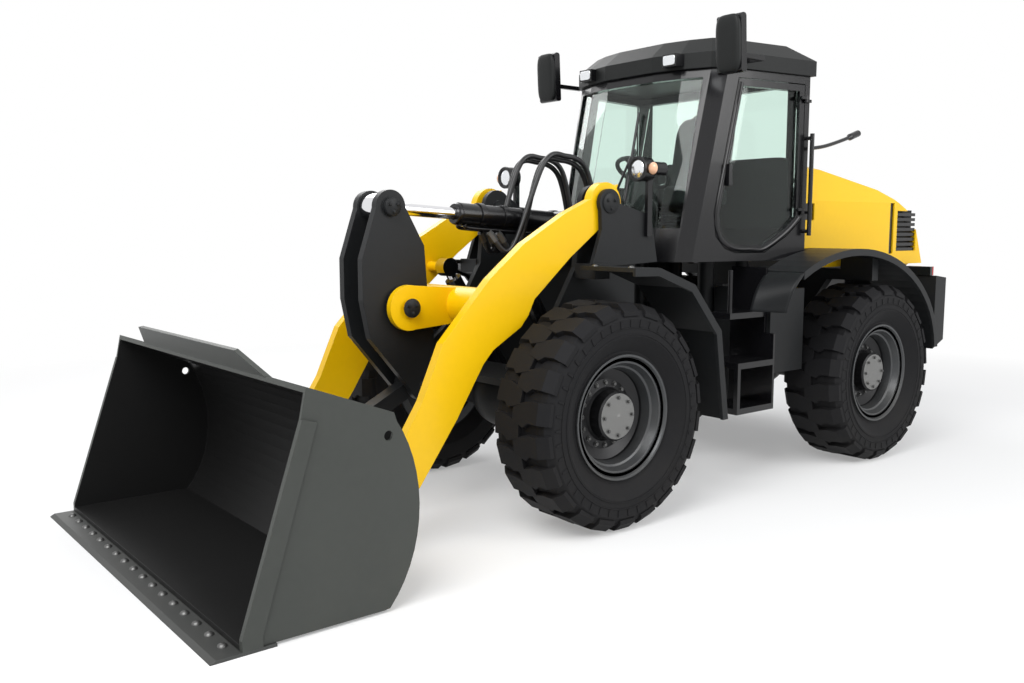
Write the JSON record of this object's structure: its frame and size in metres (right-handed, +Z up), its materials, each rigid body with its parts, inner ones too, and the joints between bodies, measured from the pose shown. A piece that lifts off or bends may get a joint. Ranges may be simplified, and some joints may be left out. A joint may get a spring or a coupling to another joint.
{
  "type": "wheel loader",
  "caption": "Articulated wheel loader with a lifting boom, a bellcrank linkage and a general purpose bucket, a glazed cab and a tilting hood.",
  "frame": {"origin": "on the ground, below the middle of the overall length and width", "axes": "+X forward, +Y to the machine's left, +Z up"},
  "size_m": [6.383, 2.49, 3.015],
  "materials": {
    "yellow_paint": "gloss",
    "grey_paint": "satin",
    "black_paint": "satin",
    "engine_metal": "rough",
    "edge_steel": "worn",
    "rod_chrome": "polished",
    "glass": "clear",
    "seat_fabric": "woven",
    "lamp_red": "gloss",
    "rim_silver": "satin",
    "tyre_rubber": "matte"
  },
  "bodies": {
    "rear_frame": {"rear_frame": "grey_paint", "counterweight": "grey_paint", "rear_axle": "grey_paint", "engine": "engine_metal", "radiator": "black_paint", "tanks": "grey_paint", "steps": "black_paint", "rear_fenders": "grey_paint", "cab_shell": "black_paint", "cab_roof": "black_paint", "cab_glass": "glass", "seat": "seat_fabric", "console": "black_paint", "handrails": "black_paint", "mirrors": "black_paint", "work_lamps": "black_paint", "tail_lamps": "lamp_red"},
    "front_frame": {"front_frame": "grey_paint", "front_axle": "grey_paint", "front_fenders": "grey_paint", "headlamps": "black_paint"},
    "boom": {"boom": "yellow_paint"},
    "bellcrank": {"bellcrank": "grey_paint"},
    "tilt_link": {"tilt_link": "grey_paint"},
    "bucket": {"bucket": "grey_paint", "cutting_edge": "edge_steel"},
    "tilt_pin": {"tilt_pin": "edge_steel"},
    "tilt_barrel": {"tilt_barrel": "black_paint"},
    "tilt_rod": {"tilt_rod": "rod_chrome"},
    "lift_barrel_left": {"lift_barrel_left": "black_paint"},
    "lift_rod_left": {"lift_rod_left": "rod_chrome"},
    "steer_barrel_left": {"steer_barrel_left": "black_paint"},
    "steer_rod_left": {"steer_rod_left": "rod_chrome"},
    "lift_barrel_right": {"lift_barrel_right": "black_paint"},
    "lift_rod_right": {"lift_rod_right": "rod_chrome"},
    "steer_barrel_right": {"steer_barrel_right": "black_paint"},
    "steer_rod_right": {"steer_rod_right": "rod_chrome"},
    "wheel_front_left": {"tyre_front_left": "tyre_rubber", "rim_front_left": "rim_silver"},
    "wheel_front_right": {"tyre_front_right": "tyre_rubber", "rim_front_right": "rim_silver"},
    "wheel_rear_left": {"tyre_rear_left": "tyre_rubber", "rim_rear_left": "rim_silver"},
    "wheel_rear_right": {"tyre_rear_right": "tyre_rubber", "rim_rear_right": "rim_silver"},
    "door": {"door_frame": "black_paint", "door_glass": "glass"},
    "hood": {"hood": "yellow_paint", "hood_grille": "black_paint"}
  },
  "joints": [
    {"name": "articulation", "type": "hinge", "parent": "rear_frame", "child": "front_frame", "pos_m": [-0.6015, 0, 0.74], "axis": [0, 0, 1], "range_deg": [-40, 40]},
    {"name": "boom_lift", "type": "hinge", "parent": "front_frame", "child": "boom", "pos_m": [0.4285, 0, 1.85], "axis": [0, -1, 0], "range_deg": [0, 93]},
    {"name": "bucket_tilt", "type": "hinge", "parent": "boom", "child": "bucket", "pos_m": [2.0285, 0, 0.27], "axis": [0, 1, 0], "range_deg": [-42, 50]},
    {"name": "bellcrank_turn", "type": "hinge", "parent": "boom", "child": "bellcrank", "pos_m": [1.5685, 0, 1.25], "axis": [0, -1, 0], "range_deg": [-15.73, 18.63]},
    {"name": "link_turn", "type": "hinge", "parent": "bellcrank", "child": "tilt_link", "pos_m": [1.4435, 0, 0.78], "axis": [0, -1, 0], "range_deg": [-16.83, 14.22]},
    {"name": "tilt_pin_turn", "type": "hinge", "parent": "front_frame", "child": "tilt_pin", "pos_m": [0.2585, 0, 1.735], "axis": [0, -1, 0], "range_deg": [-0.5, 81.18]},
    {"name": "tilt_barrel_swing", "type": "hinge", "parent": "tilt_pin", "child": "tilt_barrel", "pos_m": [0.2585, 0, 1.735], "axis": [0, -1, 0], "range_deg": [-1.61, 1.82]},
    {"name": "tilt_stroke", "type": "slide", "parent": "tilt_barrel", "child": "tilt_rod", "axis": [0.9981, 0, 0.061], "range_m": [-0.1803, 0.1518]},
    {"name": "lift_swing_left", "type": "hinge", "parent": "front_frame", "child": "lift_barrel_left", "pos_m": [0.3285, 0.36, 0.5], "axis": [0, -1, 0], "range_deg": [-0.5, 18.57]},
    {"name": "lift_stroke_left", "type": "slide", "parent": "lift_barrel_left", "child": "lift_rod_left", "axis": [0.534, 0, 0.8455], "range_m": [-0.002, 0.8076]},
    {"name": "lift_swing_right", "type": "hinge", "parent": "front_frame", "child": "lift_barrel_right", "pos_m": [0.3285, -0.36, 0.5], "axis": [0, -1, 0], "range_deg": [-0.5, 18.57]},
    {"name": "lift_stroke_right", "type": "slide", "parent": "lift_barrel_right", "child": "lift_rod_right", "axis": [0.534, 0, 0.8455], "range_m": [-0.002, 0.8076]},
    {"name": "steer_swing_left", "type": "hinge", "parent": "rear_frame", "child": "steer_barrel_left", "pos_m": [-1.2015, 0.245, 0.74], "axis": [0, 0, 1], "range_deg": [-12.08, 12.08]},
    {"name": "steer_stroke_left", "type": "slide", "parent": "steer_barrel_left", "child": "steer_rod_left", "axis": [0.9998, -0.0176, 0], "range_m": [-0.1622, 0.1622]},
    {"name": "steer_swing_right", "type": "hinge", "parent": "rear_frame", "child": "steer_barrel_right", "pos_m": [-1.2015, -0.245, 0.74], "axis": [0, 0, 1], "range_deg": [-12.08, 12.08]},
    {"name": "steer_stroke_right", "type": "slide", "parent": "steer_barrel_right", "child": "steer_rod_right", "axis": [0.9998, 0.0176, 0], "range_m": [-0.1622, 0.1622]},
    {"name": "wheel_spin_front_left", "type": "hinge", "parent": "front_frame", "child": "wheel_front_left", "pos_m": [0.7285, 0.89, 0.648], "axis": [0, 1, 0], "continuous": true},
    {"name": "wheel_spin_front_right", "type": "hinge", "parent": "front_frame", "child": "wheel_front_right", "pos_m": [0.7285, -0.89, 0.648], "axis": [0, 1, 0], "continuous": true},
    {"name": "wheel_spin_rear_left", "type": "hinge", "parent": "rear_frame", "child": "wheel_rear_left", "pos_m": [-1.9315, 0.89, 0.648], "axis": [0, 1, 0], "continuous": true},
    {"name": "wheel_spin_rear_right", "type": "hinge", "parent": "rear_frame", "child": "wheel_rear_right", "pos_m": [-1.9315, -0.89, 0.648], "axis": [0, 1, 0], "continuous": true},
    {"name": "door_swing", "type": "hinge", "parent": "rear_frame", "child": "door", "pos_m": [-1.27977, 0.80699, 2], "axis": [0, 0, 1], "range_deg": [0, 90]},
    {"name": "hood_tilt", "type": "hinge", "parent": "rear_frame", "child": "hood", "pos_m": [-3.0515, 0, 1.415], "axis": [0, -1, 0], "range_deg": [0, 50]}
  ],
  "couplings": [
    {"joint": "bellcrank_turn", "follows": "bucket_tilt", "ratio": 0.3625},
    {"joint": "link_turn", "follows": "bucket_tilt", "ratio": -0.32664},
    {"joint": "tilt_pin_turn", "follows": "boom_lift", "ratio": 0.86751},
    {"joint": "tilt_barrel_swing", "follows": "bucket_tilt", "ratio": 0.02631},
    {"joint": "tilt_stroke", "follows": "bucket_tilt", "m_per_rad": -0.20433},
    {"joint": "lift_swing_left", "follows": "boom_lift", "ratio": 0.19435},
    {"joint": "lift_stroke_left", "follows": "boom_lift", "m_per_rad": 0.49631},
    {"joint": "lift_swing_right", "follows": "boom_lift", "ratio": 0.19435},
    {"joint": "lift_stroke_right", "follows": "boom_lift", "m_per_rad": 0.49631},
    {"joint": "steer_swing_left", "follows": "articulation", "ratio": 0.28962},
    {"joint": "steer_stroke_left", "follows": "articulation", "m_per_rad": -0.22952},
    {"joint": "steer_swing_right", "follows": "articulation", "ratio": 0.28962},
    {"joint": "steer_stroke_right", "follows": "articulation", "m_per_rad": 0.22952}
  ]
}
